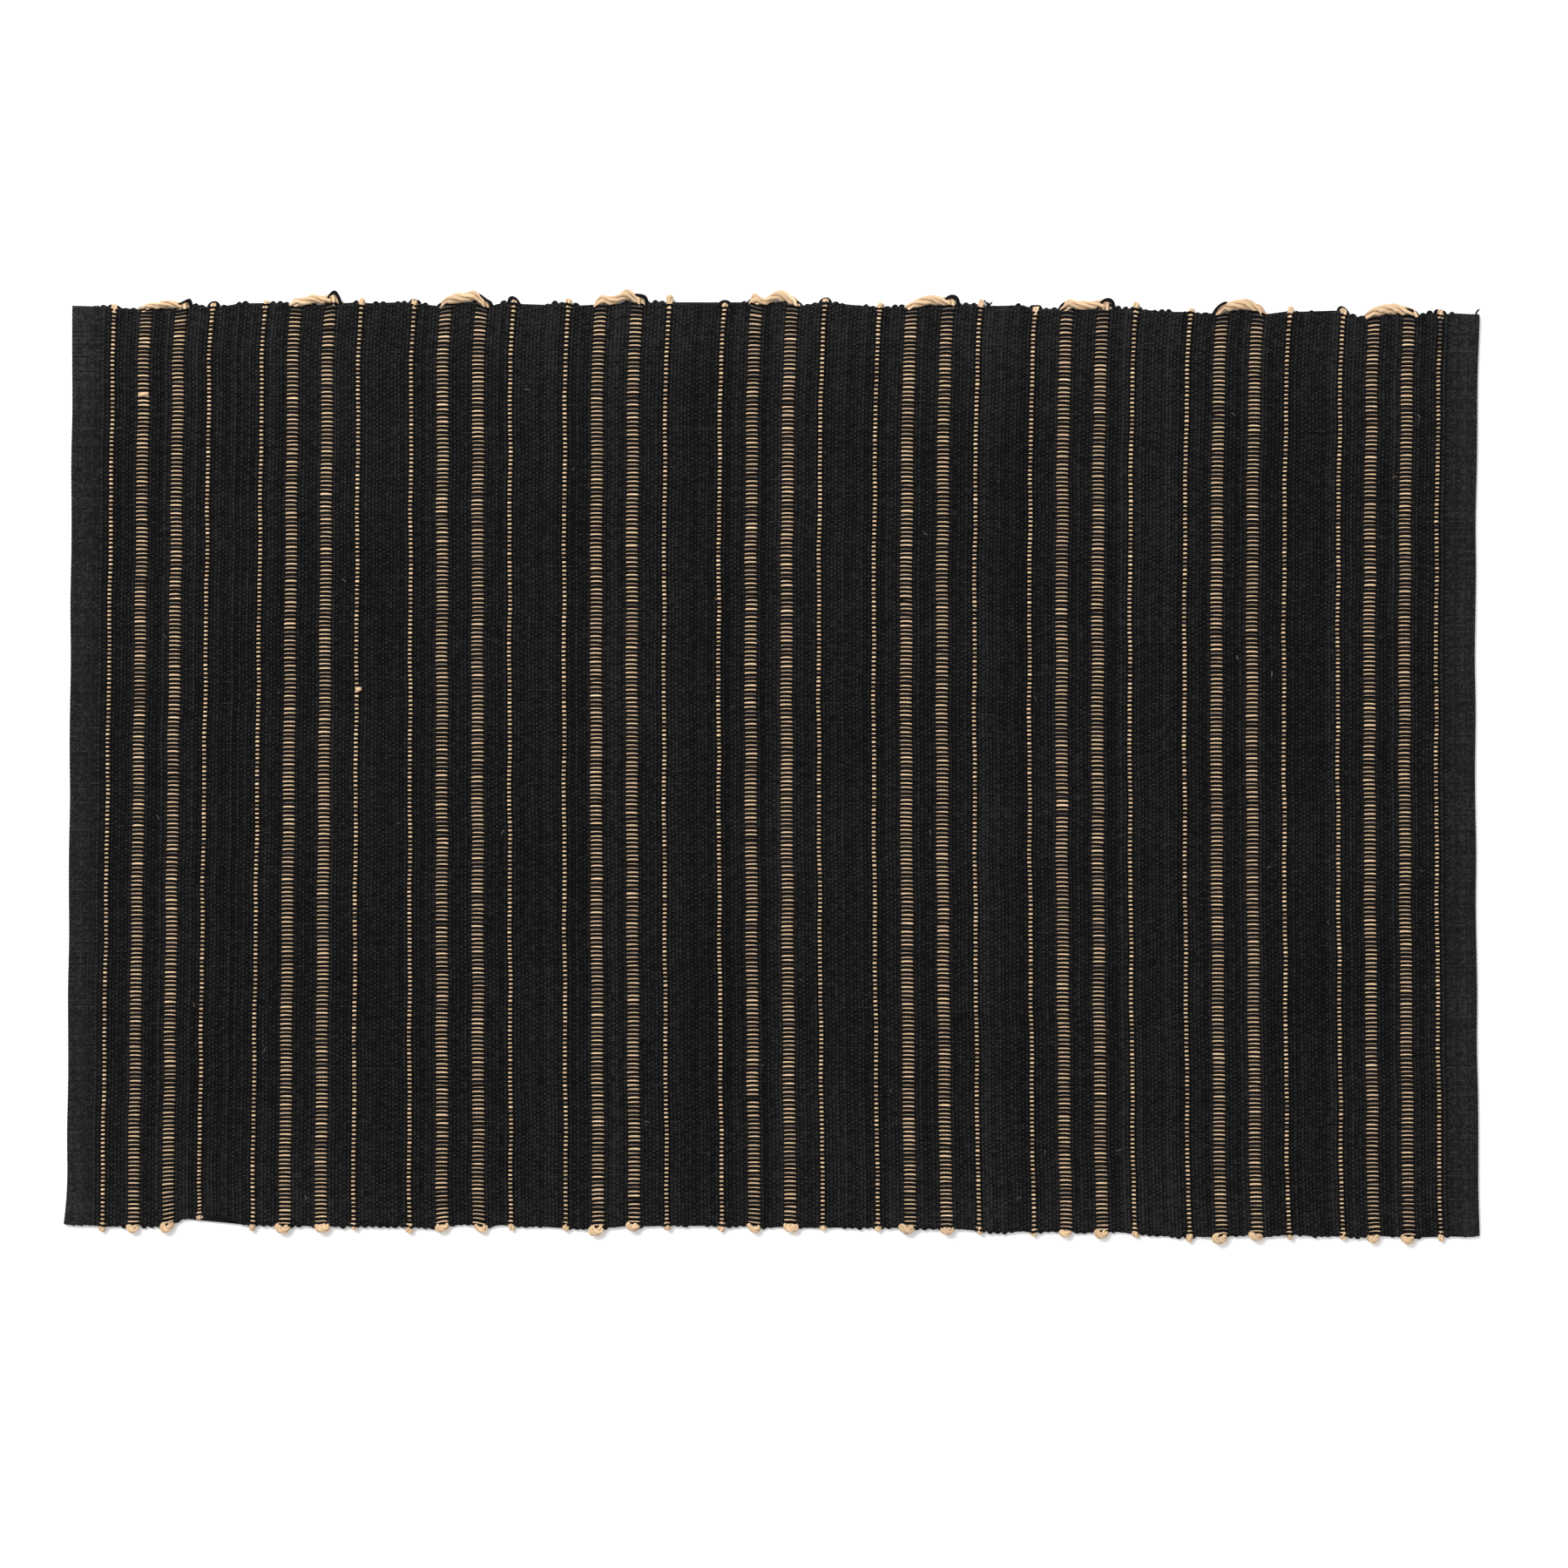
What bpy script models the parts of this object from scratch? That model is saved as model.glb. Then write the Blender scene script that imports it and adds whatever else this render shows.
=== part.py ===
"""Woven bath mat: a black cotton rep-weave ground with natural-colour weft stripes.

Metres, +Z up. The mat lies flat on z = 0 with its long side along X. The warp runs along X and the weft
along Y, so the natural yarns and their stripes run along Y, from selvedge to selvedge. The origin is on
the underside, midway between the hem folds and midway between the outermost yarn turns.
"""

import math

import bmesh
import bpy

# The black ground cloth
CLOTH_LENGTH = 0.900  # along X, from hem fold to hem fold
CLOTH_WIDTH = 0.590  # along Y, from selvedge to selvedge
CLOTH_THICKNESS = 0.0042
BACK_WEB = 0.0010  # the warp that lies under each natural yarn

# The folded hems at both ends
HEM_WIDTH = 0.0180  # from the fold to the flap's free edge
HEM_SLIT = 0.0004  # between the two layers of a hem
FOLD_STEPS = 8

# The stripes: each group is thin, thick, thick, thin
STRIPE_GROUPS = 9
HEM_TO_STRIPE = 0.0077  # from the flap's free edge to the nearest thin stripe
THICK_PITCH = 0.0227  # between the two thick stripes of a group
THIN_OFFSET = 0.0204  # from a thick stripe to the thin one beside it

# The natural weft yarn
YARN_DIAMETER = 0.0036
CLEARANCE = 0.0003  # between a yarn or a thread and whatever it lies on or beside
TAIL_SETBACK = 0.0005  # a thick stripe's cut ends stop this far inside the selvedge
FLOAT_HEIGHT = 0.0044  # from the selvedge to the middle of the yarn that floats along it
FLOAT_SHARPNESS = 4.0  # 2 is an ellipse, and more is a squarer arch
FLOAT_STEPS = 14
TURN_STANDOFF = 0.0014  # a yarn leaves the selvedge this far before it turns back
TURN_STEPS = 6
STUB_REACH = 0.0032  # a thin stripe's cut ends stand this far out of the selvedge
STUB_SLANT = 0.0010  # sideways lean of the stub at the far selvedge

# The hem's lockstitch: one thread above, one below
THREAD_DIAMETER = 0.0007
STITCH_INSET = 0.0140  # from the hem fold to the stitch line
THREAD_LIFT = 0.0001  # the lower thread is this far above the floor

ROUND_SIDES = 2  # bevel resolution that gives an eight-sided yarn
THREAD_SIDES = 1  # and a six-sided thread

BLACK = (0.0120, 0.0116, 0.0122)
NATURAL = (0.5600, 0.4000, 0.2400)
THREAD_BLACK = (0.0090, 0.0090, 0.0095)

yarn_pitch = YARN_DIAMETER + CLEARANCE
yarn_z = BACK_WEB + CLEARANCE + YARN_DIAMETER / 2
float_reach = FLOAT_HEIGHT + YARN_DIAMETER / 2
turn_reach = TURN_STANDOFF + yarn_pitch / 2 + YARN_DIAMETER / 2
cloth_y = (turn_reach - float_reach) / 2
half_length = CLOTH_LENGTH / 2
half_width = CLOTH_WIDTH / 2
thin_from_middle = THICK_PITCH / 2 + THIN_OFFSET
first_group_x = -half_length + HEM_WIDTH + HEM_TO_STRIPE + thin_from_middle
group_pitch = -2 * first_group_x / (STRIPE_GROUPS - 1)
stitch_x = half_length - STITCH_INSET
seam_groove_depth = CLEARANCE + THREAD_DIAMETER + THREAD_LIFT
upper_thread_z = CLOTH_THICKNESS - seam_groove_depth + CLEARANCE + THREAD_DIAMETER / 2
lower_thread_z = THREAD_LIFT + THREAD_DIAMETER / 2


def clear_scene():
    for old in list(bpy.data.objects):
        bpy.data.objects.remove(old)


def make_material(name, colour, roughness):
    material = bpy.data.materials.new(name)
    material.use_nodes = True
    shader = material.node_tree.nodes["Principled BSDF"]
    shader.inputs["Base Color"].default_value = (*colour, 1)
    shader.inputs["Roughness"].default_value = roughness
    shader.inputs["Metallic"].default_value = 0
    return material


def place(name, data, location, material, parent):
    data.materials.append(material)
    made = bpy.data.objects.new(name, data)
    made.location = location
    made.parent = parent
    bpy.context.scene.collection.objects.link(made)
    return made


def group_middles():
    return [first_group_x + group_pitch * i for i in range(STRIPE_GROUPS)]


def channels():
    """The shed that each stripe's yarns lie in, as (middle, half width) from low X to high X."""
    single = YARN_DIAMETER / 2 + CLEARANCE
    double = single + yarn_pitch / 2
    found = []
    for middle in group_middles():
        found.append((middle - thin_from_middle, single))
        found.append((middle - THICK_PITCH / 2, double))
        found.append((middle + THICK_PITCH / 2, double))
        found.append((middle + thin_from_middle, single))
    return found


def notch(middle, half, edge_z, floor_z, direction):
    """Four (x, z) points of a slot in a flat edge, walked along X in the direction given."""
    start, end = middle - direction * half, middle + direction * half
    return [(start, edge_z), (start, floor_z), (end, floor_z), (end, edge_z)]


def hem_outline():
    """The lower layer, the fold and the seam grooves of the hem at high X, as (x, z) points going up."""
    layer = (CLOTH_THICKNESS - HEM_SLIT) / 2
    fold_radius = CLOTH_THICKNESS / 2
    fold_x = half_length - fold_radius
    flap_x = half_length - HEM_WIDTH
    groove = THREAD_DIAMETER / 2 + CLEARANCE
    outline = [(flap_x - HEM_SLIT, 0), (flap_x - HEM_SLIT, layer + HEM_SLIT)]
    outline += [(fold_x, layer + HEM_SLIT), (fold_x, layer), (flap_x, layer), (flap_x, 0)]
    outline += notch(stitch_x, groove, 0, seam_groove_depth, 1)
    for i in range(FOLD_STEPS + 1):
        angle = math.pi * (i / FOLD_STEPS - 0.5)
        outline.append((fold_x + fold_radius * math.cos(angle), fold_radius * (1 + math.sin(angle))))
    outline += notch(stitch_x, groove, CLOTH_THICKNESS, CLOTH_THICKNESS - seam_groove_depth, -1)
    return outline


def cloth_section():
    """The cloth's outline in the XZ plane, anticlockwise from the low end of the hem at high X."""
    section = hem_outline()
    for middle, half in reversed(channels()):
        section += notch(middle, half, CLOTH_THICKNESS, BACK_WEB, -1)
    section += [(-x, z) for x, z in reversed(hem_outline())]
    return section


def make_ground_cloth(material, parent):
    mesh = bpy.data.meshes.new("ground_cloth")
    work = bmesh.new()
    corners = [work.verts.new((x, -half_width, z)) for x, z in cloth_section()]
    near_end = work.faces.new(corners)
    swept = bmesh.ops.extrude_face_region(work, geom=[near_end], use_keep_orig=True)["geom"]
    far_corners = [item for item in swept if isinstance(item, bmesh.types.BMVert)]
    bmesh.ops.translate(work, verts=far_corners, vec=(0, CLOTH_WIDTH, 0))
    bmesh.ops.recalc_face_normals(work, faces=work.faces)
    work.to_mesh(mesh)
    work.free()
    mesh.shade_smooth()
    mesh.set_sharp_from_angle(angle=math.radians(30))
    return place("ground_cloth", mesh, (0, cloth_y, 0), material, parent)


def tube(name, points, diameter, sides):
    """A round yarn or thread through the (x, y) points, in the plane z = 0."""
    line = bpy.data.curves.new(name, "CURVE")
    line.dimensions = "3D"
    line.bevel_depth = diameter / 2
    line.bevel_resolution = sides
    line.use_fill_caps = True
    spline = line.splines.new("POLY")
    spline.points.add(len(points) - 1)
    for point, (x, y) in zip(spline.points, points):
        point.co = (x, y, 0, 1)
    return line


def arch(middle, half_span, height, sharpness, steps):
    """(x, y) points from the low X foot of a superellipse, over its top at height, to its other foot."""
    points = []
    for i in range(steps + 1):
        angle = math.pi * (1 - i / steps)
        across, up = math.cos(angle), max(math.sin(angle), 0)
        x = math.copysign(abs(across) ** (2 / sharpness), across) * half_span
        points.append((middle + x, up ** (2 / sharpness) * height))
    return points


def thick_yarn_route():
    """One yarn: down and up a thick stripe, along the far selvedge, then down and up the other one."""
    inner = THICK_PITCH / 2 - yarn_pitch / 2
    outer = THICK_PITCH / 2 + yarn_pitch / 2
    tail = (-inner, half_width - TAIL_SETBACK)
    turn = arch(-THICK_PITCH / 2, yarn_pitch / 2, yarn_pitch / 2, 2, TURN_STEPS)
    turn_y = -half_width - TURN_STANDOFF
    first_half = [tail] + [(x, turn_y - rise) for x, rise in reversed(turn)]
    over = [(x, half_width + rise) for x, rise in arch(0, outer, FLOAT_HEIGHT, FLOAT_SHARPNESS, FLOAT_STEPS)]
    second_half = [(-x, y) for x, y in reversed(first_half)]
    return first_half + over + second_half


def thin_yarn_route(side):
    """A single pick with a cut stub at each selvedge. The near stub leans away from the group's middle."""
    return [
        (0, half_width + STUB_REACH),
        (0, -half_width),
        (side * STUB_SLANT, -half_width - STUB_REACH),
    ]


def make_natural_yarns(material, parent):
    for number, middle in enumerate(group_middles(), 1):
        name = f"thick_stripe_yarn_{number}"
        data = tube(name, thick_yarn_route(), YARN_DIAMETER, ROUND_SIDES)
        place(name, data, (middle, cloth_y, yarn_z), material, parent)
        for side, word in ((-1, "left"), (1, "right")):
            name = f"thin_stripe_yarn_{word}_{number}"
            data = tube(name, thin_yarn_route(side), YARN_DIAMETER, ROUND_SIDES)
            place(name, data, (middle + side * thin_from_middle, cloth_y, yarn_z), material, parent)


def make_hem_seams(material, parent):
    route = [(0, -half_width), (0, half_width)]
    for side, word in ((-1, "left"), (1, "right")):
        for layer, z in (("needle", upper_thread_z), ("bobbin", lower_thread_z)):
            name = f"hem_{layer}_thread_{word}"
            data = tube(name, route, THREAD_DIAMETER, THREAD_SIDES)
            place(name, data, (side * stitch_x, cloth_y, z), material, parent)


def main():
    clear_scene()
    mat = bpy.data.objects.new("bath_mat", None)
    bpy.context.scene.collection.objects.link(mat)
    make_ground_cloth(make_material("black_cotton", BLACK, 0.9), mat)
    make_natural_yarns(make_material("natural_yarn", NATURAL, 0.85), mat)
    make_hem_seams(make_material("sewing_thread", THREAD_BLACK, 0.7), mat)


main()
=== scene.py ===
"""The looks of a woven bath mat: a black cotton warp rib with stripes of natural yarn.

Everything is laid out in flat cloth coordinates first: u runs along the warp, v along the weft from the
middle of the cloth, and z up, in metres. lie() then turns them into the mat as it lies, a little out of
square and wavy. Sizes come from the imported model's boxes and from the named values below. In a shape, t
runs from -1 to 1 over its length, and over the cloth from the near to the far selvedge.
"""

import math
from collections import namedtuple

import bpy
import numpy as np
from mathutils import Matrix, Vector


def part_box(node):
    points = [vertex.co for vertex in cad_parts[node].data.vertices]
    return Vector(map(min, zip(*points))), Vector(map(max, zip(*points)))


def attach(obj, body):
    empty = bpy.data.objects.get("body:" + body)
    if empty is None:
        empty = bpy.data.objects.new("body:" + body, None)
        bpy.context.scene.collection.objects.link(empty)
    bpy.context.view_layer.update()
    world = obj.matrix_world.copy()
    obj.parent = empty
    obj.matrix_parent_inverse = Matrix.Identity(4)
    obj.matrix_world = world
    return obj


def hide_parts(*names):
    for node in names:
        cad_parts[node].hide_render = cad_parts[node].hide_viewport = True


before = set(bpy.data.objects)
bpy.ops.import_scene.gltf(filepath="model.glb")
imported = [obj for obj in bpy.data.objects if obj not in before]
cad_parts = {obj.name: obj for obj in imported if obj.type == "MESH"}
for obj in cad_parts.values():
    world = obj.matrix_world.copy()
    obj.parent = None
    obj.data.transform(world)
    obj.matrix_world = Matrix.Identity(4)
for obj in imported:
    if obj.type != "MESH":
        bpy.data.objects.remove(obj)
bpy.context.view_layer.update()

STRIPE_GROUPS = 9
SEED = 7
CHART_GAP, CELL_GAP = 0.0008, 0.0004  # between charts and between a tube's cells, on a map
CAPS_IN_ROW = 60

# The weave of the ground
WARP_ENDS = 434
PICK_PITCH = 0.00236
FINE_PICK_PITCH = 0.0012  # in the hems, which are woven with a thinner weft
RIB_STEPS = 0, 1 / 3, 2 / 3  # where along a pick its columns of points lie
FINE_STEPS = 0, 0.5
CREST = 0.00027  # a warp end where it passes over a pick, above the mean face
BEAD = -0.00010  # the pick where it shows between two crests
DIP = -0.00024  # a warp end as it goes down between two picks
CREVICE = -0.00026  # between two ends, over a pick
PIT = -0.00044  # between two ends and two picks
RIDGE = CREST, BEAD, CREVICE
GROOVE = DIP, DIP, PIT
RELIEF_SPREAD = 0.00002  # how far a single crest or hollow is off its height
FINE_RELIEF = 0.42  # the hems' relief, as a share of the ground's
BACK_RELIEF = 0.00011
END_PICKS = 3  # on the underside, from the last stripe to the right flap
BACK_LIFT = 0.0002  # of the underside's mean face, above the floor
BACK_BEAD = 0.00009  # how far a natural bead on the underside is sunk, and a black end beside it stands out
BACK_BEAD_EDGE = 0.0002  # between the edge of such a bead and its full colour
FLAP_LIFT = 0.00025  # of the hems' flaps, above the floor
ROLL_RADIUS = 0.0021  # the rounding of the cloth's thickness at a selvedge
ROLL_LEAST = 0.22  # the share of the thickness that is left there
WALL_RUN = 0.0003  # how far each wall of a thick stripe's shed leans in on its way down
WALL_TOP = 0.0005  # from the face down to the top of a shed's wall
WALL_FOOT = 0.0003  # from the web up to its foot

# The shades of the cloth, as tones from 0 to 1
CLOTH_TONE = 0.61
WEAR_AND_PAINTED_SHADE_PER_METRE = 1500  # how much lighter the relief's heights are than its hollows: partly wear on the crowns, partly painted shade in the hollows
GROOVE_PAINTED_SHADE = 0.14  # painted shade: how much darker the grooves between picks are for their depth
HEM_GROOVE_PAINTED_SHADE = 0.2  # the hems' share of that painted shade
CROSSING_SHADES = 0.26, 0.34  # how far single crossings differ, in the ground and in the hems
END_SHADES = 0.04, 0.14  # the same for warp ends
PICK_SHADES = 0.09  # and for picks
SPARE_PICKS = 8  # shades past the last pick's
FAR_PAINTED_LIGHT, NEAR_PAINTED_LIGHT = 0.24, 0.17  # painted light: how much lighter the cloth is towards its selvedges
# The hems' lighter shade sets in this far before the flap's free edge, and is full this far before the fold
HEM_SHADE_RUN = 0.014, 0.003
NATURAL_BACK = -1.0  # marks where natural yarn shows on the underside, as 1 marks a hem

# The hems, as part.py makes them
HEM_WIDTH = 0.0180
HEM_SLIT = 0.0004
BACK_WEB = 0.0010
FOLD_STEPS = 8
STITCH_LENGTH = 0.0034
STITCH_SIDES = 8
STITCH_DIP = 0.0006  # of a stitch's ends, below the face
STITCH_LIFT = 0.00008  # of its middle, above the face

# The warp where it crosses a natural yarn
ARC_WIDE, THIN_ARC_WIDE = 0.00100, 0.00090
ARC_RINGS, THIN_ARC_RINGS = 11, 9
ARC_SIDES = 6
ARC_FEET = 0.85  # how wide its feet are, as a share of its middle
ARC_SQUARE, THIN_ARC_SQUARE = 5, 3.2  # 2 is half an ellipse, and more is a flatter arch with steeper sides
ARC_HIGH = 0.00044
ARC_REACH = 0.0006  # past the side of the shed
ARC_CREST = 0.00003  # the middle of the end, above the natural yarn's top
ARC_SINK = 0.0007  # its feet, below the cloth's face
ARC_BOW = 0.00042
THIN_BOW = 0.4  # the bow over a thin stripe, as a share of that
ARC_TILT, ARC_BEND, ARC_PLACE, ARC_HEIGHT = 0.00009, 0.00007, 0.00008, 0.00004  # how far single ends differ
ARC_WIDTHS = 0.07  # the same for their width, as a share of it
ARC_TONE, ARC_SHADES, ARC_FOOT_TONE = 0.08, 0.06, 0.3

# The natural yarn
LEG_SIDES = 12
RINGS_PER_BEAD = 4
RINGS_IN_CELL = 217  # a leg lies on the map in stretches of so many rings
BEAD_SWELL = 0.07
LEG_LOBES = 0.015
LEG_TWIST = 0.013
LEG_WANDER = 0.00006
LEG_SQUARE = 3.2  # 2 is an ellipse, and more is a fuller, squarer section
PAIR_APART = 0.0010  # from the middle of a thick stripe to the middle of each of its two pressed yarns
PAIR_WIDE = 0.0028  # half a flattened yarn's width, in a thick stripe
SINGLE_WIDE = 0.00134
LEG_SETBACKS = 0.0004, 0.0006  # a leg ends this far inside the near and the far selvedge
BEAD_SHADES = (3.6, 1.2), (2.3, 1.3)  # how the shades of thin and of thick stripes' beads spread
BEAD_EVENNESS = 0.0, 0.6  # how far a run of light or dark beads is evened out, in thin and in thick stripes
EVENNESS_RUN = 5  # how many beads such a run has
# The dim greyish beads stand partly for black fibre caught in the yarn and partly for painted shade where
# beads lie deeper
BEAD_TONE = 0.17  # of the darkest bead
BEAD_RANGE = 0.745, 0.70  # from there to the lightest one, in thin and in thick stripes
YARN_SHADES = 0.04  # how far the yarns of a pair differ in a bead
# Painted shadow where a thick stripe goes under its float: the share of its tone that is left there, and how
# far from the selvedge it is that dark and is no darker than elsewhere. The last thin stripe darkens by the
# same rule.
FLOAT_PAINTED_SHADOW = 0.06, 0.0025, 0.0090
LAST_STRIPE = 0.25, 0.016, 0.030
PLIES = 4
PLY_SIDES = 10
PLY_TWIST = 0.021
PLY_SIZE = 0.52  # a ply's radius, as a share of its yarn's
PLY_PACKING = 1.12
# PLY_SHADE is painted shade on a ply where it winds beneath the others; the other two spread tones at random
PLY_SHADE, PLY_SHADES, RING_SHADES = 0.18, 0.06, 0.02
END_TONE = 0.78  # of the turns and stubs
FLOAT_TONE = 0.80
# Where a group's float is highest: -1 is its left end, and 0 nowhere. In other groups it is 1, its right end
FLOAT_SIDES = {5: -1, 8: -1, 9: 0}
FLOAT_REACHES = 0.0037, 0.0046
FLAT_FLOAT = 0.4  # the reach of a float that is highest nowhere, as a share of that
FOOT_SINK = 0.0010  # a turn's and a float's feet lie this far below the middle of the woven yarn
TURN_FOOT, FLOAT_FOOT = 0.0012, 0.0014  # and this far inside the selvedge
TURN_RADII, TURN_STANDOFFS, TURN_SKEW = (0.0018, 0.0027), (-0.0008, 0.0010), 0.0010
TURN_SIZES = 0.98, 1.22  # of the yarn in a turn, as a share of its woven radius, as are the next two
FLOAT_SIZE = 1.28
STUB_SIZE = 1.04
STUB_REACHES, STUB_FLARES, STUB_DROP = (0.0016, 0.0042), (1, 1.35), 0.0006
STUB_SLANT, FAR_SLANT = 0.0008, 0.0004
LINT_PER_GROUP = 5
LINT_SIDES = 6
LINT_ROUND = 0.045  # how far to the left and right of a group's middle its lint lies
LINT_LENGTHS, LINT_BEND, LINT_SIZES = (0.0008, 0.0018), 0.0003, (0.0001, 0.00018)
LINT_TONES = 0.25, 0.45
SLUBS = (1, 0.2374, 0.0062, 0.0), (7, 0.0484, 0.0026, 0.0013)  # stripe, v, length and offset to the right
SLUB_SIZE, SLUB_TONE, SLUB_TWIST, SLUB_TAPER = 0.0012, 0.85, 0.008, 0.35

# The black weft at the selvedges
FINE_GAP, WIDE_GAP = 0.0018, 0.004  # closer picks are a hem's, and natural yarn parts those farther apart
TURN_DEPTH = 0.0012  # how far inside the selvedge a turn begins
FINE_WEFT, WIDE_WEFT, WEFT_SIZES = 0.0004, 0.0011, (0.0008, 0.0012)  # radii in a hem, past yarn and elsewhere
FAR_REACHES, NEAR_REACHES = (-0.0008, 0.0009), (-0.0008, 0.0005)  # how far turns stand out of the selvedges
HEM_REACH = 0.35  # the same in a hem, as a share of that
FAR_LOOPS, NEAR_LOOPS = (0.0006, 0.0032), (-0.0002, 0.0010)  # how far turns past natural yarn stand out
TURN_RINGS, WIDE_TURN_RINGS = 8, 14
WEFT_SIDES = 8
WEFT_TONE, WEFT_SHADES = 0.45, 0.08
NO_LOOP_GROUPS = 5, 9
# A slack loop's way, in millimetres: away from the float, out of the selvedge, and up
SLACK_LOOP = (4.6, -1.8, 2.4), (4.1, 0.6, 3.6), (2.9, 3.3, 4.8)
SLACK_LOOP_OUTER = (0.6, 4.8, 5.5), (-2.3, 5.0, 5.4)  # the points that lie farther out in some loops
SLACK_LOOP_BACK = (-4.6, 3.7, 4.0), (-5.4, 1.8, 2.4)
LOOP_GROWTHS, LOOP_SIZES = (0.9, 1.15), (0.00100, 0.00125)
TAIL_REACHES, TAIL_SIZE = (0.0030, 0.0046), 0.0008
TAIL_U = 0.1345  # the u of the other tails
CORNER_TAIL = 0.0030  # from the right fold to the tails at its corner

# How the mat lies out of true, and over which stretches of u
DRIFT = -0.00165, -0.0027, -0.0004, -0.00045  # waves of the stripes' spacing, one to four in half lengths
LEAN, LEAN_FADES, LEAN_RAMP = 0.0036, (-0.36, -0.17), 0.025
BOW, BOW_GROWS = 0.0025, (-0.30, 0.05)
FAR_CURL, FAR_CURL_GROWS, FAR_CURL_FADES, FAR_CURL_FROM = 0.0017, -0.40, (0.30, 0.44), 0.85
NEAR_CURL, NEAR_CURL_GROWS, NEAR_CURL_FADES, NEAR_CURL_FROM = 0.0008, (-0.1, 0.2), 0.36, 0.88
NEAR_FLARE, NEAR_FLARE_GROWS, NEAR_FLARE_FROM = 0.0021, 0.425, 0.86
WANDER, FINE_WANDER = 0.00022, 0.00016
FAR_RISE, FAR_FALL, FAR_FALLS = 0.0017, 0.0064, (-0.02, 0.42)
NEAR_RISE, NEAR_FALL, NEAR_FALLS = 0.0032, 0.0062, (-0.02, 0.34)
CORNER_DROOP, DROOP_FADES = 0.0026, (-0.41, -0.32)  # of the far left corner
FAR_WAVE, NEAR_WAVE, FINE_NEAR_WAVE, RIPPLE = 0.0004, 0.0006, 0.0003, 0.00025
UNEVEN = 0.0010  # of the far selvedge
RAGGED = 0.00035  # of both
NOTCH_U, NOTCH_WIDTH, NOTCH_DEPTH = -0.357, 0.021, 0.0072
EDGE_LIFT, EDGE_LIFT_FROM = 0.0007, 0.93

# The studio
FLOOR_HALF = 12.0
FLOOR_PAINT = 0.90, 0.90, 0.90
SKY_STRENGTH = 0.6
CAMERA_LENS, CAMERA_SENSOR = 85, 36  # in millimetres
VIEW_WIDTH = 1.0019  # of the floor
VIEW_MIDDLE = 0.0061, -0.0100

cloth_low, cloth_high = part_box("ground_cloth")
half_length = cloth_high.x
half_width = (cloth_high.y - cloth_low.y) / 2
cloth_y = (cloth_high.y + cloth_low.y) / 2
cloth_top = cloth_high.z
yarn_low, yarn_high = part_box("thin_stripe_yarn_left_1")
yarn_radius = (yarn_high.z - yarn_low.z) / 2
yarn_z = (yarn_high.z + yarn_low.z) / 2
clearance = yarn_z - yarn_radius - BACK_WEB
yarn_pitch = 2 * yarn_radius + clearance
hem_layer = (cloth_top - HEM_SLIT) / 2
end_pitch = 2 * half_width / WARP_ENDS
flap_u = half_length - HEM_WIDTH

random = np.random.default_rng(SEED)


def smooth(x, start, end):
    t = np.clip((x - start) / (end - start), 0, 1)
    return t * t * (3 - 2 * t)


def curled(t, start):
    """How strong a curl is at t: nothing up to start, and all of it at the selvedge."""
    return np.clip((t - start) / (1 - start), 0, None) ** 2


def shift_along(u, v, t):
    """How far the cloth lies off along the warp. The lengths and phases of the waves are free choices."""
    drift = sum(size * np.sin(n * np.pi * (u / half_length + 1) / 2) for n, size in enumerate(DRIFT, 1))
    lean = LEAN * (1 - smooth(u, *LEAN_FADES)) * (1 + smooth(u, -half_length, LEAN_RAMP - half_length)) / 2
    bow = BOW * smooth(u, *BOW_GROWS) * (1 - t * t) * (1 + 0.4 * t)
    far_curl = FAR_CURL * smooth(u, -half_length, FAR_CURL_GROWS) * (1 - smooth(u, *FAR_CURL_FADES))
    near_curl = NEAR_CURL * smooth(u, *NEAR_CURL_GROWS) * (1 - smooth(u, NEAR_CURL_FADES, half_length))
    near_flare = NEAR_FLARE * smooth(-u, NEAR_FLARE_GROWS, half_length)
    curl = far_curl * curled(t, FAR_CURL_FROM) + near_curl * curled(-t, NEAR_CURL_FROM)
    curl = curl - near_flare * curled(-t, NEAR_FLARE_FROM)
    wander = WANDER * np.sin(74 * v + 9 * u + 1) + FINE_WANDER * np.sin(131 * v - 23 * u) * np.cos(17 * u)
    return drift + lean * t - bow + curl + wander


def shift_across(u, v, t):
    """How far the cloth lies off along the weft."""
    from_far, from_near = 1 - t, 1 + t
    far_edge = FAR_RISE - FAR_FALL * smooth(u, *FAR_FALLS)
    near_edge = NEAR_RISE - NEAR_FALL * smooth(u, *NEAR_FALLS)
    slant = (far_edge * from_near + near_edge * from_far) / 2
    droop = CORNER_DROOP * (1 - smooth(u, *DROOP_FADES))
    waves = (FAR_WAVE * np.sin(57 * u + 1) - droop) * np.exp(-14 * from_far)
    near_waves = NEAR_WAVE * np.sin(49 * u + 4) + FINE_NEAR_WAVE * np.sin(121 * u)
    waves = waves + near_waves * np.exp(-14 * from_near)
    uneven = UNEVEN * (np.sin(141 * u + 3 * np.sin(37 * u)) + 0.6 * np.sin(263 * u + 2 * np.sin(71 * u + 1)))
    uneven = uneven * (np.exp(-30 * from_far) + np.exp(-30 * from_near) / 2)
    ragged = RAGGED * np.sin(770 * u + 5 * np.sin(113 * u)) * np.exp(-120 * np.abs(np.abs(t) - 1))
    notch = NOTCH_DEPTH * np.exp(-(((u - NOTCH_U) / NOTCH_WIDTH) ** 2)) * np.exp(-9 * from_near)
    ripple = RIPPLE * np.sin(41 * u + 6 * v) * (1 - t * t)
    return slant + waves + uneven + ragged + notch + ripple


def lie(points):
    """Points in cloth coordinates, as they lie on the floor."""
    u, v, z = np.moveaxis(np.asarray(points, float), -1, 0)
    t = v / half_width
    x = u + shift_along(u, v, t)
    y = cloth_y + v + shift_across(u, v, t)
    lift = EDGE_LIFT * (0.5 + 0.5 * np.sin(31 * u + 2 * t)) * smooth(np.abs(t), EDGE_LIFT_FROM, 1.0)
    return np.stack([x, y, np.maximum(z + lift, 0)], -1)


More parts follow.
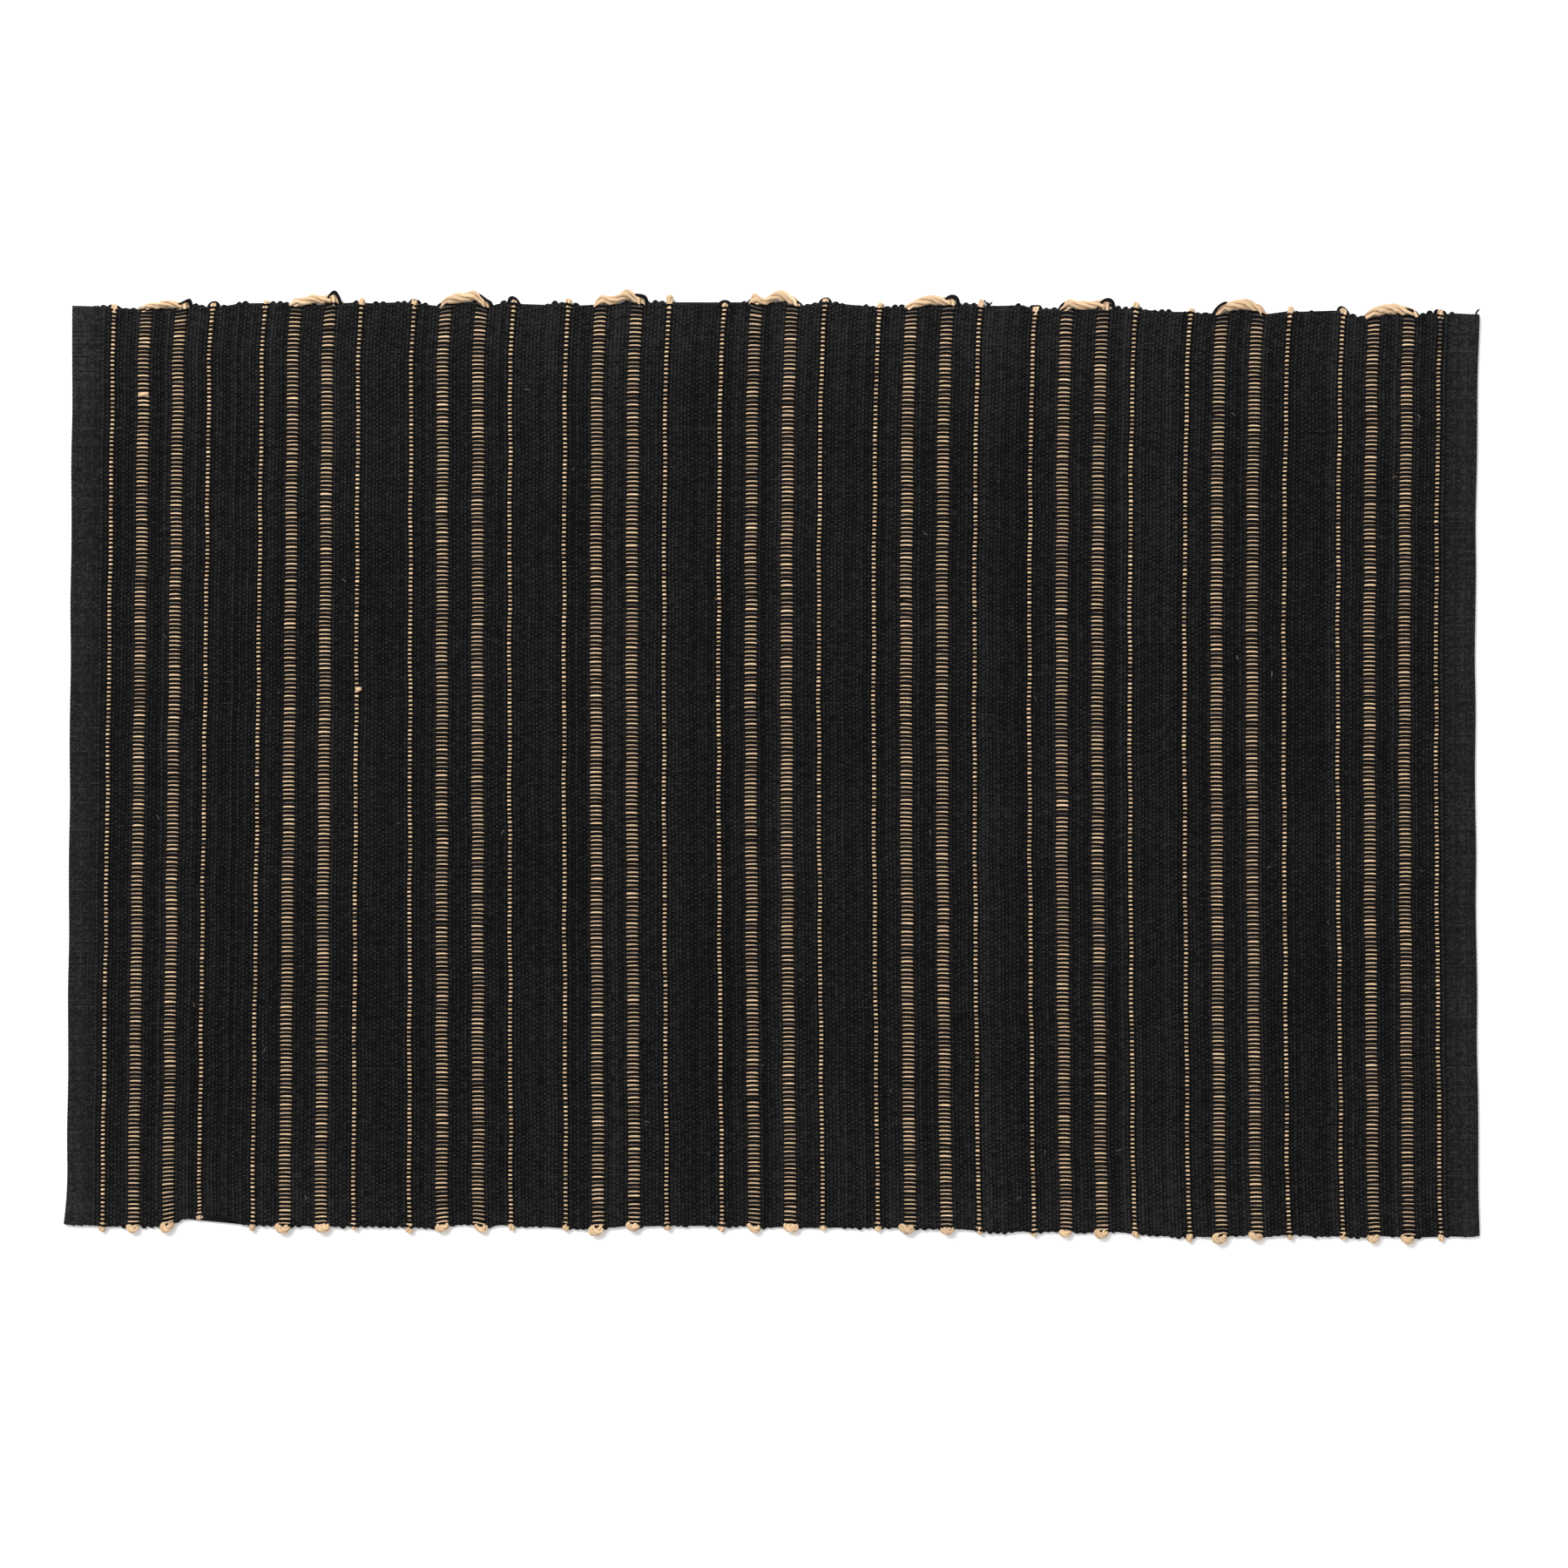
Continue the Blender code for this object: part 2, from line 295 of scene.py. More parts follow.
class Shape:
    """Gathers points, faces and flat maps of the faces, and makes one mesh of them."""

    def __init__(self):
        self.points, self.tones, self.grains, self.faces, self.charts = [], [], [], [], []
        self.total = 0

    def add_points(self, points, tone, grain):
        """tone is how light the points are, from 0 to 1, and grain their pattern's (along, around, mark)."""
        start = self.total
        self.points.append(points.reshape(-1, 3))
        self.tones.append(np.broadcast_to(tone, points.shape[:-1]).reshape(-1))
        self.grains.append(np.broadcast_to(grain, points.shape).reshape(-1, 3))
        self.total += len(self.points[-1])
        return start

    def add_faces(self, corners, flat):
        """corners is (faces, corners), and flat (faces, corners, 2) is where they lie on a map in metres."""
        self.faces.append(corners)
        self.charts.append(flat - flat.reshape(-1, 2).min(0))

    def map_places(self):
        """The charts stacked one above the other and stretched to fill the map."""
        heights = [chart[..., 1].max() + CHART_GAP for chart in self.charts]
        widest = max(chart[..., 0].max() for chart in self.charts) + CHART_GAP
        placed, bottom = [], CHART_GAP / 2
        for chart, height in zip(self.charts, heights):
            placed.append((chart.reshape(-1, 2) + (CHART_GAP / 2, bottom)) / (widest, sum(heights)))
            bottom += height
        return np.concatenate(placed)

    def make(self, name, material, stands_for):
        """The gathered mesh as a piece that is shown instead of the CAD node that it stands for."""
        mesh = bpy.data.meshes.new(name)
        points = lie(np.concatenate(self.points))
        sizes = np.concatenate([np.full(len(f), f.shape[1]) for f in self.faces])
        corners = np.concatenate([f.reshape(-1) for f in self.faces])
        mesh.vertices.add(len(points))
        mesh.vertices.foreach_set("co", points.astype(np.float32).ravel())
        mesh.loops.add(len(corners))
        mesh.loops.foreach_set("vertex_index", corners.astype(np.int32))
        mesh.polygons.add(len(sizes))
        mesh.polygons.foreach_set("loop_start", (np.cumsum(sizes) - sizes).astype(np.int32))
        mesh.update(calc_edges=True)
        mesh.shade_smooth()
        layer = mesh.uv_layers.new(name="OFBake", do_init=False)
        layer.uv.foreach_set("vector", self.map_places().astype(np.float32).ravel())
        tone = mesh.attributes.new("tone", "FLOAT", "POINT")
        tone.data.foreach_set("value", np.concatenate(self.tones).astype(np.float32))
        grain = mesh.attributes.new("grain", "FLOAT_VECTOR", "POINT")
        grain.data.foreach_set("vector", np.concatenate(self.grains).astype(np.float32).ravel())
        mesh.materials.append(material)
        made = bpy.data.objects.new(name, mesh)
        bpy.context.scene.collection.objects.link(made)
        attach(made, "root")
        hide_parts(stands_for)
        return made


def unit(vectors):
    return vectors / np.maximum(np.linalg.norm(vectors, axis=-1, keepdims=True), 1e-12)


def ring_points(paths, wide, high, sides, across, square):
    """Points of (tubes, rings, sides) round the paths, each ring a superellipse."""
    tangent = unit(np.gradient(paths, axis=1))
    side = unit(across - tangent * (tangent @ across)[..., None])
    normal = np.cross(tangent, side)
    turn = 2 * np.pi * np.arange(sides) / sides
    cosine, sine = (np.sign(x) * np.abs(x) ** (2 / square) for x in (np.cos(turn), np.sin(turn)))
    ring = side[:, :, None] * (wide * cosine)[..., None] + normal[:, :, None] * (high * sine)[..., None]
    return paths[:, :, None] + ring


def add_tube_walls(shape, start, size, step, girth, rings_in_cell, cells_in_row):
    """The sides of tubes of size (tubes, rings, sides), mapped in cells of so many rings."""
    count, rings, sides = size
    tube, k, s = np.meshgrid(np.arange(count), np.arange(rings - 1), np.arange(sides), indexing="ij")
    base = start + tube * rings * sides
    after = (s + 1) % sides
    corners = [base + k * sides + s, base + k * sides + after]
    corners += [base + (k + 1) * sides + after, base + (k + 1) * sides + s]
    cells_each = -(-(rings - 1) // rings_in_cell)
    cell = tube * cells_each + k // rings_in_cell
    cell_u = (cell % cells_in_row) * (rings_in_cell * step + CELL_GAP)
    cell_v = (cell // cells_in_row) * (girth + CELL_GAP)
    ring = k % rings_in_cell
    flat = [(ring, s), (ring, s + 1), (ring + 1, s + 1), (ring + 1, s)]
    flat = [np.stack([cell_u + a * step, cell_v + b * girth / sides], -1) for a, b in flat]
    shape.add_faces(np.stack(corners, -1).reshape(-1, 4), np.stack(flat, -2).reshape(-1, 4, 2))


def add_tube_caps(shape, start, size, radius):
    """The ends of the same tubes, mapped as discs."""
    count, rings, sides = size
    corner = np.arange(sides)
    first = start + np.arange(count)[:, None] * rings * sides + corner[::-1]
    last = start + np.arange(count)[:, None] * rings * sides + (rings - 1) * sides + corner
    turn = 2 * np.pi * corner / sides
    disc = radius * np.stack([np.cos(turn), np.sin(turn)], -1)
    cap = np.arange(2 * count)
    places = np.stack([cap % CAPS_IN_ROW, cap // CAPS_IN_ROW], -1) * 2.5 * radius
    shape.add_faces(np.concatenate([first, last]), places[:, None] + disc)


def add_tubes(
    shape,
    paths,
    wide,
    high,
    sides,
    across,
    tone,
    cells_in_row=1,
    rings_in_cell=None,
    swell=1.0,
    square=2.0,
):
    """Closed tubes along paths, which are (tubes, rings, 3).

    wide and high are half sizes, along the direction across and at right angles to it. swell changes both
    round each ring.
    """
    paths = np.asarray(paths, float)
    count, rings = paths.shape[:2]
    wide, high = (np.broadcast_to(half, (count, rings))[..., None] * swell for half in (wide, high))
    points = ring_points(paths, wide, high, sides, np.asarray(across, float), square)
    steps = np.linalg.norm(np.diff(paths, axis=1), axis=2)
    along = np.concatenate([np.zeros((count, 1)), np.cumsum(steps, 1)], 1)
    radius = float(np.mean(wide) + np.mean(high)) / 2
    grain = np.zeros(points.shape)
    grain[..., 0] = along[..., None]
    grain[..., 1] = radius * 2 * np.pi * np.arange(sides) / sides
    start = shape.add_points(points, np.broadcast_to(tone, (count, rings))[..., None], grain)
    size = (count, rings, sides)
    girth = 2 * np.pi * radius
    add_tube_walls(shape, start, size, float(steps.mean()), girth, rings_in_cell or rings - 1, cells_in_row)
    add_tube_caps(shape, start, size, float(np.mean(wide)))


def curve(points, count):
    """A smooth line of count points through the given ones."""
    points = np.asarray(points, float)
    padded = np.concatenate([[2 * points[0] - points[1]], points, [2 * points[-1] - points[-2]]])
    t = np.linspace(0, len(points) - 1, count)
    i = np.minimum(t.astype(int), len(points) - 2)
    f = (t - i)[:, None]
    a, b, c, d = (padded[i + n] for n in range(4))
    return 0.5 * (2 * b + (c - a) * f + (2 * a - 5 * b + 4 * c - d) * f**2 + (3 * b - a - 3 * c + d) * f**3)


# Where the picks lie

# A stripe's shed: its middle u, half width and group, and a thin stripe's side of the group, left or right
Shed = namedtuple("Shed", "middle half group side")

# A column of the cloth's points: where it is, which way its face looks, how high its points lie where an end
# goes over the pick, where it goes under and between two ends, which pick it is on, and its mark
U, Z, NORMAL_U, NORMAL_Z, OVER, UNDER, BETWEEN, PICK, MARK = range(9)


def read_sheds():
    """The sheds of all the stripes, from low u to high u."""
    single = yarn_radius + clearance
    found = []
    for group in range(1, STRIPE_GROUPS + 1):
        low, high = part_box(f"thick_stripe_yarn_{group}")
        middle, span = (low.x + high.x) / 2, (high.x - low.x) / 2
        thick = span - yarn_radius - yarn_pitch / 2
        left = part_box(f"thin_stripe_yarn_left_{group}")[1].x - yarn_radius
        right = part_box(f"thin_stripe_yarn_right_{group}")[0].x + yarn_radius
        found.append(Shed(left, single, group, "left"))
        found.append(Shed(middle - thick, single + yarn_pitch / 2, group, None))
        found.append(Shed(middle + thick, single + yarn_pitch / 2, group, None))
        found.append(Shed(right, single, group, "right"))
    return found


sheds = read_sheds()


def rib_columns(start, end, pitch, steps, relief, first_pick, z, facing, mark):
    """The columns over the picks from start to end, and the u of each pick's middle."""
    picks = max(round(abs(end - start) / pitch), 1)
    width = (end - start) / picks
    columns = []
    for i in range(picks):
        for step in steps:
            heights = [height * relief for height in (GROOVE if step == 0 else RIDGE)]
            columns.append((start + (i + step) * width, z, 0, facing, *heights, first_pick + i, mark))
    return columns, [start + (i + 0.5) * width for i in range(picks)]


def plain_column(u, z):
    return (u, z, 0, 1, 0, 0, 0, 0, 0.0)


def face_columns():
    """The upper face from the left flap's free edge, round both folds, to the right flap's.

    Returns its columns, the index of each shed's middle column, each shed's pick number, and the u of each
    black pick.
    """
    fold = cloth_top / 2
    fold_u = half_length - fold
    columns, middles, shed_picks, black = [], [], [], []
    pick = 0

    def ribs(start, end, z=cloth_top, fine=False, facing=1):
        nonlocal pick
        weave = (FINE_PICK_PITCH, FINE_STEPS, FINE_RELIEF) if fine else (PICK_PITCH, RIB_STEPS, 1)
        made, centres = rib_columns(start, end, *weave, pick, z, facing, float(fine))
        columns.extend(made)
        pick += len(centres)
        if facing > 0:
            black.extend(centres)

    def turn(side):
        nonlocal pick
        for i in range(FOLD_STEPS):
            angle = side * math.pi / 2 - math.pi * i / FOLD_STEPS
            nu, nz = math.cos(angle), math.sin(angle)
            u, z = side * fold_u + fold * nu, fold + fold * nz
            heights = [height * FINE_RELIEF for height in (RIDGE if i % 2 else GROOVE)]
            columns.append((u, z, nu, nz, *heights, pick + i // 2, 1.0))
        pick += FOLD_STEPS // 2

    ribs(-flap_u, -fold_u, z=FLAP_LIFT, fine=True, facing=-1)
    turn(-1)
    ribs(-fold_u, -flap_u, fine=True)
    edge = -flap_u
    for middle, half, _, side in sheds:
        ribs(edge, middle - half)
        foot = SINGLE_WIDE if side else half - WALL_RUN
        columns.append(plain_column(middle - half, cloth_top - WALL_TOP))
        columns.append(plain_column(middle - foot, BACK_WEB + WALL_FOOT))
        middles.append(len(columns))
        shed_picks.append(pick)
        columns.append(plain_column(middle, BACK_WEB))
        columns.append(plain_column(middle + foot, BACK_WEB + WALL_FOOT))
        pick += 1
        edge = middle + half
    ribs(edge, flap_u)
    ribs(flap_u, fold_u, fine=True)
    turn(1)
    ribs(fold_u, flap_u, z=FLAP_LIFT, fine=True, facing=-1)
    columns.append((flap_u, FLAP_LIFT, 0, -1, *columns[-1][OVER:]))
    return np.array(columns), middles, shed_picks, np.array(black)


def back_columns():
    """The underside from the left flap's inner edge to the right one's, and each shed's middle column."""
    fold_u = half_length - cloth_top / 2
    body_u = flap_u - HEM_SLIT
    inside = [(-flap_u, hem_layer), (-fold_u, hem_layer)]
    inside += [(-fold_u, hem_layer + HEM_SLIT), (-body_u, hem_layer + HEM_SLIT)]
    columns = [plain_column(u, z) for u, z in inside] + [plain_column(-body_u, BACK_LIFT)]
    ribbed = (BACK_LIFT, 0, 1, BACK_RELIEF, -BACK_RELIEF, 0)
    middles, edge, pick = [], -body_u, 0
    for (middle, half, _, side), shed_pick in zip(sheds, shed_picks):
        picks = max(round((middle - half - edge) / PICK_PITCH), 1)
        width = (middle - half - edge) / picks
        columns += [(edge + (i + 0.5) * width, *ribbed, pick + i, 0.0) for i in range(picks)]
        pick += picks + 1
        reach = SINGLE_WIDE if side else PAIR_APART + PAIR_WIDE
        full = reach - BACK_BEAD_EDGE
        beads = (BACK_LIFT, 0, 1, BACK_BEAD, -BACK_BEAD, 0, shed_pick)
        middles.append(len(columns) + 2)
        marks = ((-reach, 0.0), (-full, NATURAL_BACK), (0, NATURAL_BACK), (full, NATURAL_BACK), (reach, 0.0))
        columns += [(middle + u, *beads, mark) for u, mark in marks]
        edge = middle + half
    width = (body_u - edge) / END_PICKS
    columns += [(edge + (i + 0.5) * width, *ribbed, pick + i, 0.0) for i in range(END_PICKS)]
    columns.append(plain_column(body_u, BACK_LIFT))
    columns += [plain_column(-u, z) for u, z in reversed(inside)]
    return np.array(columns), middles


face, face_middles, shed_picks, black_picks = face_columns()
back, back_middles = back_columns()
face_rows = np.linspace(-half_width, half_width, 2 * WARP_ENDS + 1)
end_middles = face_rows[1::2]
back_rows = np.concatenate([[-half_width], end_middles, [half_width]])
pick_count = int(face[:, PICK].max()) + SPARE_PICKS
end_tones = random.normal(0, 1, WARP_ENDS)
pick_tones = random.normal(0, 1, pick_count)
crossing_tones = random.normal(0, 1, (pick_count, WARP_ENDS))


def rolled(points):
    """The cloth's thickness drawn in towards its middle at the selvedges."""
    past = np.clip((np.abs(points[..., 1]) - (half_width - ROLL_RADIUS)) / ROLL_RADIUS, 0, 1)
    keep = np.maximum(np.sqrt(1 - past**2), ROLL_LEAST)
    points[..., 2] = cloth_top / 2 + (points[..., 2] - cloth_top / 2) * keep
    return points


def cloth_points(columns, rows, ends):
    """Points of (columns, rows), their tones and grain. ends is each row's warp end, or -1 between two."""
    part = columns.T[:, :, None]
    between = ends < 0
    over = (part[PICK] + ends) % 2 == 0
    heights = np.where(between, part[BETWEEN], np.where(over, part[OVER], part[UNDER]))
    heights = heights + (np.abs(heights) > 0) * random.normal(0, RELIEF_SPREAD, heights.shape)
    points = np.empty((len(columns), len(rows), 3))
    points[..., 0] = part[U] + part[NORMAL_U] * heights
    points[..., 1] = rows
    points[..., 2] = part[Z] + part[NORMAL_Z] * heights
    picks = part[PICK].astype(int)
    hemmed = part[MARK] > 0
    own = np.where(hemmed, CROSSING_SHADES[1], CROSSING_SHADES[0]) * crossing_tones[picks, ends]
    own = own + np.where(hemmed, END_SHADES[1], END_SHADES[0]) * end_tones[ends]
    # Painted shade in the relief's hollows, partly wear of its crowns, and random shades of crossings, ends
    # and picks
    tone = CLOTH_TONE + WEAR_AND_PAINTED_SHADE_PER_METRE * heights + np.where(between, 0, own) + PICK_SHADES * pick_tones[picks]
    # Painted shade in the grooves between picks, weaker in the hems
    tone = tone - GROOVE_PAINTED_SHADE * (part[OVER] < 0) * np.where(hemmed, HEM_GROOVE_PAINTED_SHADE, 1)
    t = rows / half_width
    # Painted light towards both selvedges
    tone = tone + np.where(t > 0, FAR_PAINTED_LIGHT * np.abs(t) ** 5, NEAR_PAINTED_LIGHT * t**4)
    before_flap, before_fold = HEM_SHADE_RUN
    hem = smooth(np.abs(points[..., 0]), flap_u - before_flap, half_length - before_fold)
    grain = np.zeros(points.shape)
    grain[..., :2] = points[..., :2]
    grain[..., 2] = np.where((part[MARK] < 0) & over & ~between, NATURAL_BACK, hem)
    return rolled(points), tone, grain


def along_section(columns):
    """How far along the cloth's section each column lies."""
    steps = np.hypot(np.diff(columns[:, U]), np.diff(columns[:, Z]))
    return np.concatenate([[0], np.cumsum(steps)])


def add_cloth_grid(shape, start, columns, rows, flip):
    """Faces over a grid of points, mapped in two halves side by side along v."""
    k, r = np.meshgrid(np.arange(len(columns) - 1), np.arange(len(rows) - 1), indexing="ij")
    corners = [(k, r), (k + 1, r), (k + 1, r + 1), (k, r + 1)]
    if flip:
        corners = [corners[i] for i in (1, 0, 3, 2)]
    section = along_section(columns)
    half = (len(rows) + 1) // 2
    second = r >= half
    shift = rows[np.where(second, half, 0)]
    aside = second * (section[-1] + CHART_GAP)
    flat = [np.stack([rows[b] - shift, section[a] + aside], -1) for a, b in corners]
    index = [start + a * len(rows) + b for a, b in corners]
    shape.add_faces(np.stack(index, -1).reshape(-1, 4), np.stack(flat, -2).reshape(-1, 4, 2))


def add_end_wall(shape, face_start, back_start, height, right):
    """The narrow wall between the last column of the upper face and of the underside."""
    b = np.arange(1, WARP_ENDS)
    top = [face_start + 2 * b - 1, face_start + 2 * b, face_start + 2 * b + 1]
    low = [back_start + b, back_start + b + 1]
    rows = [face_rows[2 * b - 1] / 2, face_rows[2 * b] / 2, face_rows[2 * b + 1] / 2]
    order = [top[0], low[0], low[1], top[2], top[1]] if right else [low[0], top[0], top[1], top[2], low[1]]
    up, down = np.full(len(b), height), np.zeros(len(b))
    at = [(rows[0], up), (rows[0], down), (rows[2], down), (rows[2], up), (rows[1], up)]
    if not right:
        at = [at[1], at[0], at[4], at[3], at[2]]
    shape.add_faces(np.stack(order, -1), np.stack([np.stack(p, -1) for p in at], -2))
    last_face, last_back = face_start + len(face_rows) - 1, back_start + len(back_rows) - 1
    ends = [[face_start, back_start, back_start + 1, face_start + 1]]
    ends += [[last_face - 1, last_back - 1, last_back, last_face]]
    if not right:
        ends = [[q[1], q[0], q[3], q[2]] for q in ends]
    step = end_pitch / 2
    square = np.array([(0, height), (0, 0), (step, 0), (step, height)])
    shape.add_faces(np.array(ends), np.stack([square, square + (3 * step, 0)]))


def make_ground_strip(name, material, face_part, back_part):
    """One strip of the cloth, closed all round, from these parts of the upper face and of the underside."""
    shape = Shape()
    top, low = face[face_part], back[back_part]
    ends = np.full(len(face_rows), -1)
    ends[1::2] = np.arange(WARP_ENDS)
    back_ends = np.concatenate([[-1], np.arange(WARP_ENDS), [-1]])
    face_start = shape.add_points(*cloth_points(top, face_rows, ends))
    back_start = shape.add_points(*cloth_points(low, back_rows, back_ends))
    add_cloth_grid(shape, face_start, top, face_rows, False)
    add_cloth_grid(shape, back_start, low, back_rows, True)
    height = abs(top[0, Z] - low[0, Z])
    add_end_wall(shape, face_start, back_start, height, False)
    last_face = face_start + (len(top) - 1) * len(face_rows)
    last_back = back_start + (len(low) - 1) * len(back_rows)
    add_end_wall(shape, last_face, last_back, height, True)
    for row, back_row in ((0, 0), (len(face_rows) - 1, len(back_rows) - 1)):
        upper = face_start + np.arange(len(top)) * len(face_rows) + row
        lower = back_start + np.arange(len(low)) * len(back_rows) + back_row
        loop = np.concatenate([upper, lower[::-1]])
        places = np.concatenate([top[:, :2], low[::-1, :2]])
        if row == 0:
            loop, places = loop[::-1], places[::-1]
        shape.add_faces(loop[None], places[None])
    made = shape.make(name, material, "ground_cloth")


def make_ground(material):
    """The cloth in strips that meet under the thick stripes' yarns, where no join shows."""
    cuts = [number for number, shed in enumerate(sheds) if not shed.side]
    face_cuts = [0] + [face_middles[number] for number in cuts] + [len(face) - 1]
    back_cuts = [0] + [back_middles[number] for number in cuts] + [len(back) - 1]
    for n in range(len(face_cuts) - 1):
        face_part = slice(face_cuts[n], face_cuts[n + 1] + 1)
        back_part = slice(back_cuts[n], back_cuts[n + 1] + 1)
        make_ground_strip(f"ground_cloth_strip_{n + 1}", material, face_part, back_part)


def ends_over(number):
    """The warp ends that pass over the natural yarn in this shed."""
    return np.arange(shed_picks[number] % 2, WARP_ENDS, 2)


def add_arcs(shape, number):
    """Every second end, where it shows as a black bar across this natural stripe."""
    middle, half, _, side = sheds[number]
    thick = side is None
    v = end_middles[ends_over(number)]

    def varied(spread):
        return random.normal(0, spread, (len(v), 1))

    t = np.linspace(-1, 1, ARC_RINGS if thick else THIN_ARC_RINGS)
    rise = np.sqrt(np.clip(1 - np.abs(t) ** (ARC_SQUARE if thick else THIN_ARC_SQUARE), 0, 1))
    low, high = cloth_top - ARC_SINK, yarn_z + yarn_radius + ARC_CREST
    path = np.zeros((len(v), len(t), 3))
    path[..., 0] = middle + (half + ARC_REACH) * t
    tilt = varied(ARC_TILT) * t
    bend = (ARC_BOW * (1 if thick else THIN_BOW) + varied(ARC_BEND)) * (1 - t**2)
    path[..., 1] = v[:, None] + varied(ARC_PLACE) + tilt + bend - ARC_BOW / 2
    path[..., 2] = low + (high - low) * rise + varied(ARC_HEIGHT) * rise
    wide = (ARC_WIDE if thick else THIN_ARC_WIDE) * (1 + varied(ARC_WIDTHS))
    wide = wide * (ARC_FEET + (1 - ARC_FEET) * rise)
    tone = ARC_TONE + varied(ARC_SHADES) + ARC_FOOT_TONE * (1 - rise)
    add_tubes(shape, path, wide, ARC_HIGH, ARC_SIDES, (0, 1, 0), tone, cells_in_row=24)


def make_warp_over_stripes(material):
    for group in range(1, STRIPE_GROUPS + 1):
        shape = Shape()
        for number, shed in enumerate(sheds):
            if shed.group == group:
                add_arcs(shape, number)
        shape.make(f"warp_over_stripes_{group}", material, "ground_cloth")


def bead_tones(kind, count, yarns):
    """The tones of a stripe's beads, (yarns, beads). kind is 0 for a thin stripe and 1 for a thick one."""
    shared = random.beta(*BEAD_SHADES[kind], count)
    nearby = np.convolve(shared, np.ones(EVENNESS_RUN) / EVENNESS_RUN, "same")
    shared = shared - BEAD_EVENNESS[kind] * (nearby - shared.mean())
    return BEAD_TONE + BEAD_RANGE[kind] * (shared + random.normal(0, YARN_SHADES, (yarns, count)))


def dimming(v, least, start, end):
    """The share of its tone that a yarn keeps, from all of it to the least one near the far selvedge."""
    return least + (1 - least) * smooth(half_width - v, start, end)


def add_legs(shape, number, us, half_wide):
    """The woven stretches of natural yarn in one shed, swelling between the ends that cross them."""
    under = end_middles[(shed_picks[number] + 1) % 2 :: 2]
    start, end = LEG_SETBACKS[0] - half_width, half_width - LEG_SETBACKS[1]
    bead = 2 * end_pitch
    rings = int(round((end - start) / bead * RINGS_PER_BEAD)) + 1
    v = np.linspace(start, end, rings)
    phase = (v - under[0]) / bead
    path = np.zeros((len(us), rings, 3))
    path[..., 0] = np.asarray(us)[:, None] + LEG_WANDER * np.sin(v * 260)
    path[..., 1] = v
    path[..., 2] = yarn_z
    puff = 1 + BEAD_SWELL * np.cos(2 * np.pi * phase)
    beads = np.clip(np.round(phase).astype(int) + 2, 0, len(under) + 3)
    tone = bead_tones(len(us) - 1, len(under) + 4, len(us))[:, beads]
    if len(us) > 1:
        # Painted shadow of the float on the thick stripe's yarns
        tone = tone * dimming(v, *FLOAT_PAINTED_SHADOW)
    if number == len(sheds) - 1:
        tone = tone * dimming(v, *LAST_STRIPE)
    turn = 2 * np.pi * np.arange(LEG_SIDES) / LEG_SIDES
    add_tubes(
        shape,
        path,
        half_wide * puff,
        yarn_radius * puff,
        LEG_SIDES,
        (1, 0, 0),
        tone,
        rings_in_cell=RINGS_IN_CELL,
        swell=1 + LEG_LOBES * np.cos(3 * (turn - 2 * np.pi * v[:, None] / LEG_TWIST)),
        square=LEG_SQUARE,
    )


def add_plied(shape, path, radius, tone, spread=1.0, twist=PLY_TWIST, start_turn=0.0, taper=(1.0, 1.0)):
    """A soft plied yarn along a path: its plies wind round each other, each with painted shade where it
    passes beneath. taper narrows its two ends.
    """
    tangent = unit(np.gradient(path, axis=0))
    side = unit(np.cross((0.0, 0.0, 1.0), tangent))
    normal = np.cross(tangent, side)
    steps = np.linalg.norm(np.diff(path, axis=0), axis=1)
    along = np.concatenate([[0], np.cumsum(steps)])
    ply = radius * PLY_SIZE
    reach = (radius - ply) * PLY_PACKING * spread
    plies, painted_depth_shade = [], []
    for n in range(PLIES):
        turn = start_turn + 2 * np.pi * (along / twist + n / PLIES)
        painted_depth_shade.append(0.5 - 0.5 * np.sin(turn))
        plies.append(path + side * (reach * np.cos(turn))[:, None] + normal * (reach * np.sin(turn))[:, None])
    ends = np.ones(len(path))
    for share, left in zip(taper, (along, along[-1] - along)):
        if share < 1:
            ends = ends * (share + (1 - share) * np.sqrt(np.clip(left / ply, 0, 1)))
    size = ply * ends * (1 + 0.05 * np.sin(along * 900 + start_turn))
    # Painted shade on each ply where it winds beneath the others, and random shades per ply and ring
    tones = tone - PLY_SHADE * np.array(painted_depth_shade) + random.normal(0, PLY_SHADES, (PLIES, 1))
    tones = tones + random.normal(0, RING_SHADES, (PLIES, len(path)))
    add_tubes(shape, np.stack(plies), size, size, PLY_SIDES, (0, 0, 1), tones)


def turn_path(middle, radius, standoff, skew):
    """The yarn's way up out of the cloth by the near selvedge, round over its edge, and back in."""
    angle = np.linspace(-0.1, np.pi + 0.1, 11)
    u = middle + skew - radius * np.cos(angle)
    v = -half_width - standoff - 0.6 * radius * np.sin(angle)
    z = yarn_z + 0.0008 + 0.0004 * np.sin(angle)
    foot_v, foot_z = TURN_FOOT - half_width, yarn_z - FOOT_SINK
    first, last = ((middle + side * yarn_pitch / 2, foot_v, foot_z) for side in (-1, 1))
    return curve(np.concatenate([[first], np.column_stack([u, v, z]), [last]]), 56)


def float_path(middle, outer, reach, high_side, phase):
    """The yarn's way along the far selvedge, from one thick stripe to the other. high_side is -1, 0 or 1."""
    t = np.linspace(-1, 1, 13)[1:-1]
    fullness = 3.5 if high_side else 6.0
    height = reach * (1 - np.abs(t) ** fullness) ** (1 / 2.2) * (0.80 + 0.24 * high_side * t)
    u = middle + outer * t + high_side * 0.0006 * (1 - t**2)
    v = half_width + height * (1 + 0.12 * np.sin(5 * t + phase))
    z = yarn_z + 0.0008 * np.cos(2.2 * t + phase) + 0.0004
    foot_v, foot_z = half_width - FLOAT_FOOT, yarn_z - FOOT_SINK
    first, last = ((middle + side * outer, foot_v, foot_z) for side in (-1, 1))
    return curve(np.concatenate([[first], np.column_stack([u, v, z]), [last]]), 90)


